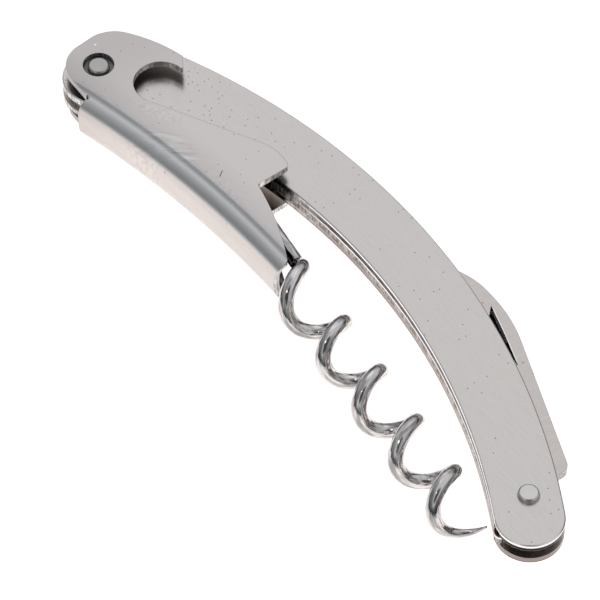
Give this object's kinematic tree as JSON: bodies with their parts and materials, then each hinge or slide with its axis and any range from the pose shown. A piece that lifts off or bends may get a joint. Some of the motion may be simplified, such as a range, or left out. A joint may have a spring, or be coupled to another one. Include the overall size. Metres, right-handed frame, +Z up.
{
  "type": "waiter's corkscrew",
  "caption": "Folding waiter's corkscrew in bare steel: curved plate handle, folded lever with a crown cap claw and a bottle foot, open wire worm and foil knife.",
  "frame": {"origin": "middle of the folded tool's bounding box, at the height of the face it lies on, the outside of the lever's lower cheek", "axes": "+X along the handle from the lever pin towards the knife pin, +Y towards the outward-curved side where the knife lies, +Z up through the thickness, along the pins"},
  "size_m": [0.1186, 0.0334, 0.0096],
  "materials": {
    "plate_steel": "satin, fine lines along the handle",
    "spring_steel": "sheared edge, darker",
    "lever_steel": "satin, tumbled",
    "worm_steel": "polished",
    "blade_steel": "satin, ground across",
    "pin_steel": "satin top, polished edge",
    "bush_steel": "dull"
  },
  "bodies": {
    "handle": {"front_plate": "plate_steel", "rear_plate": "plate_steel", "back_spring": "spring_steel", "spring_pin": "pin_steel", "lever_pin": "pin_steel", "front_pivot_bush": "bush_steel", "rear_pivot_bush": "bush_steel", "worm_pin": "pin_steel", "knife_pin": "pin_steel"},
    "lever": {"lever": "lever_steel"},
    "worm": {"worm": "worm_steel"},
    "knife": {"knife_blade": "blade_steel"}
  },
  "joints": [
    {"name": "lever_swing", "type": "hinge", "parent": "handle", "child": "lever", "pos_m": [-0.0534, -0.0055, 0.0048], "axis": [0, 0, -1], "range_deg": [0, 180]},
    {"name": "worm_swing", "type": "hinge", "parent": "handle", "child": "worm", "pos_m": [-0.0243, 0.0002, 0.0048], "axis": [0, 0, -1], "range_deg": [0, 90]},
    {"name": "knife_swing", "type": "hinge", "parent": "handle", "child": "knife", "pos_m": [0.05107, -0.00323, 0.0048], "axis": [0, 0, -1], "range_deg": [0, 155]}
  ],
  "couplings": [
    {"joint": "worm_swing", "follows": "lever_swing", "ratio": 0.5}
  ]
}
